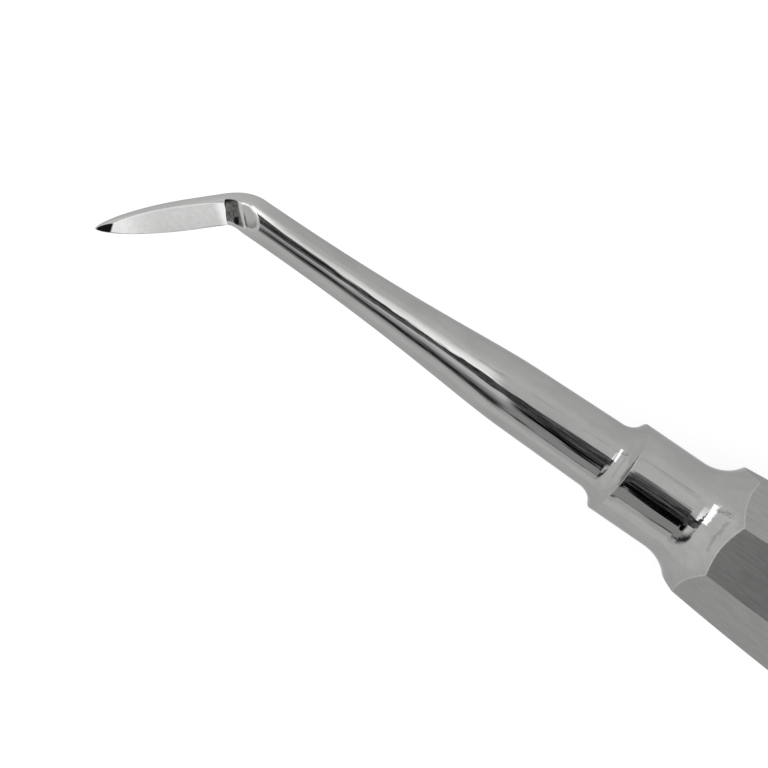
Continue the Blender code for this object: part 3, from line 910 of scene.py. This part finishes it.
def tent_walls(nodes, turn, lean, level):
    """The level, covered by the tent's dim side, lower part, lit wall, lamp and seams."""
    ramp, band, times, cover = nodes.range, nodes.band, nodes.times, nodes.cover
    level = cover(level, ramp(turn, *DIM_TURNS, 1, 0), DIM_BRIGHTNESS)
    low = times(ramp(lean, *LOW_LEANS, 1, 0, smooth=True), band(turn, *LOW_TURNS))
    level = cover(level, low, LOW_BRIGHTNESS)
    lit = times(band(lean, *LIT_LEANS), band(turn, *LIT_TURNS))
    level = cover(level, lit, ramp(turn, *GLOW_TURNS, *GLOW_BRIGHTNESS))
    lamp = times(band(lean, *LAMP_LEANS), band(turn, *LAMP_TURNS))
    level = cover(level, lamp, LAMP_BRIGHTNESS)
    stepped = nodes.math("ADD", turn, ramp(lean, *NECK_LEANS, 0, SEAM_STEP))
    seam = times(band(stepped, *SEAM_TURNS), ramp(lean, *SEAM_LEANS, 0, 1))
    level = cover(level, seam, SEAM_BRIGHTNESS)
    swung = nodes.math("ADD", turn, times(nodes.below(lean, SWUNG_SEAM_LEANS[1]), SWUNG_SEAM_SWING))
    seam = times(band(swung, *SWUNG_SEAM_TURNS), band(lean, *SWUNG_SEAM_LEANS))
    return cover(level, seam, SWUNG_SEAM_BRIGHTNESS)


def tent_rim(nodes, turn, lean, level):
    """The level, covered by both sides of the opening's rim and the dark line between them."""
    ramp, band, times, cover = nodes.range, nodes.band, nodes.times, nodes.cover
    y = nodes.math("DIVIDE", nodes.math("SUBTRACT", lean, RIM_CENTRE[1]), RIM_REACH[1])
    half = nodes.math("SQRT", nodes.below(times(y, y), 1.0))
    rim = nodes.math("ADD", times(half, RIM_REACH[0]), RIM_CENTRE[0])
    gap = nodes.math("SUBTRACT", rim, turn)
    near = ramp(lean, *NEAR_LEANS, 0, 1)
    inner = cover(ramp(gap, *INNER_FADE_GAPS, *INNER_BRIGHTNESS), near, INNER_NEAR_BRIGHTNESS)
    inside = times(band(gap, *INNER_GAPS), ramp(lean, *INNER_LEANS, 0, 1, smooth=True))
    level = cover(level, times(inside, ramp(turn, *INNER_TURNS, 0, 1)), inner)
    outer = cover(ramp(gap, *OUTER_FADE_GAPS, *OUTER_BRIGHTNESS), near, OUTER_NEAR_BRIGHTNESS)
    beyond = times(band(gap, *OUTER_GAPS), ramp(lean, *OUTER_LEANS, 0, 1, smooth=True))
    level = cover(level, times(beyond, ramp(turn, *OUTER_TURNS, 0, 1)), outer)
    return cover(level, times(band(gap, *RIM_LINE_GAPS), near), RIM_LINE_BRIGHTNESS)


def tent_opening(nodes, turn, lean, streaks, level):
    """The level, covered by the opening's half-lit edge and its dark parts with lighter streaks."""
    ramp, band, times, cover = nodes.range, nodes.band, nodes.times, nodes.cover
    widened = nodes.math("ADD", turn, ramp(lean, *NECK_LEANS, 0, HALF_LIT_WIDENING))
    half_lit = times(band(widened, *HALF_LIT_TURNS), ramp(lean, *HALF_LIT_LEANS, 0, 1, smooth=True))
    level = cover(level, half_lit, ramp(widened, *HALF_LIT_FADE_TURNS, *HALF_LIT_BRIGHTNESS))

    start, stop, foot, dark, light = OPENING_UPPER
    below = nodes.below(lean, CURL_START)
    curled = nodes.math("ADD", turn, times(below, below, CURL))
    narrowed = nodes.math("ADD", turn, times(below, NARROWING))
    mask = times(
        ramp(curled, start - 1, start + 1, 0, 1, smooth=True),
        ramp(narrowed, stop - 2, stop + 2, 1, 0, smooth=True),
        ramp(lean, foot - 1, foot + 1, 0, 1, smooth=True),
    )
    level = cover(level, mask, ramp(streaks, 0, 1, dark, light))

    pinch = times(band(lean, *PINCH_LEANS), PINCH_DEPTH)
    for start, stop, foot, dark, light in (OPENING_MIDDLE, OPENING_LOWER):
        slant = times(nodes.math("SUBTRACT", turn, start), FOOT_SLANT)
        slanted = nodes.math("SUBTRACT", lean, slant)
        pinched = nodes.math("ADD", turn, times(pinch, ramp(turn, start, stop, 0, 1)))
        above_foot = ramp(slanted, foot - 2, foot + 2, 0, 1, smooth=True)
        mask = times(band(pinched, start, stop, *OPENING_FADES), above_foot)
        level = cover(level, mask, ramp(streaks, 0, 1, dark, light))
    return level


def make_world():
    """A light tent: plain white, and for reflections panels around a dark opening."""
    world = bpy.data.worlds.new("light_tent")
    bpy.context.scene.world = world
    world.use_nodes = True
    nodes = Nodes(world.node_tree)
    background = world.node_tree.nodes["Background"]
    direction = nodes.add("ShaderNodeTexCoord").outputs["Generated"]
    split = nodes.add("ShaderNodeSeparateXYZ")
    nodes.link(direction, split.inputs[0])
    side = nodes.math("MULTIPLY", split.outputs["Y"], -1.0)
    turn = nodes.math("DEGREES", nodes.math("ARCTAN2", side, split.outputs["Z"]))
    lean = nodes.math("DEGREES", nodes.math("ARCSINE", split.outputs["X"]))
    shift = nodes.range(lean, NECK_LEANS[0], NECK_LEANS[1], 0, NECK_SHIFT, smooth=True)
    turn = nodes.math("ADD", turn, shift)

    across = nodes.math("DIVIDE", turn, STREAK_WIDTH)
    down = nodes.math("DIVIDE", lean, STREAK_LENGTH)
    place = nodes.add("ShaderNodeCombineXYZ")
    nodes.link(across, place.inputs["X"])
    nodes.link(down, place.inputs["Y"])
    streaks = nodes.range(nodes.noise(place.outputs[0], 1.0), *STREAK_RANGE, 0, 1, smooth=True)
    clouds = nodes.range(nodes.noise(direction, TENT_CLOUD_SCALE), *WIDE, -TENT_CLOUDS, TENT_CLOUDS)
    level = tent_walls(nodes, turn, lean, nodes.math("ADD", clouds, TENT_LEVEL))
    level = tent_rim(nodes, turn, lean, level)
    level = tent_opening(nodes, turn, lean, streaks, level)
    ring = nodes.times(nodes.band(turn, *RING_TURNS), nodes.band(lean, *RING_LEANS))
    level = nodes.cover(level, ring, RING_BRIGHTNESS)

    path = nodes.add("ShaderNodeLightPath")
    seen = nodes.add("ShaderNodeMix", data_type="FLOAT")
    nodes.link(path.outputs["Is Glossy Ray"], seen.inputs["Factor"])
    seen.inputs["A"].default_value = 1.0
    nodes.link(level, seen.inputs["B"])
    background.inputs["Color"].default_value = (1, 1, 1, 1)
    nodes.link(seen.outputs["Result"], background.inputs["Strength"])


def make_camera():
    camera = bpy.data.cameras.new("camera")
    camera.lens = CAMERA_LENS
    camera.sensor_width = SENSOR_WIDTH
    camera.clip_start, camera.clip_end = CAMERA_CLIPS
    seat = bpy.data.objects.new("camera", camera)
    bpy.context.scene.collection.objects.link(seat)
    seat.location = CAMERA_PLACE
    seat.rotation_euler = CAMERA_TURN
    bpy.context.scene.camera = seat


def main():
    body = make_surface()
    body.data.materials.append(steel_material())
    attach(body, "root")
    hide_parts(NODE)
    make_floor()
    make_world()
    make_camera()
    bpy.context.scene.view_settings.view_transform = "Standard"


main()
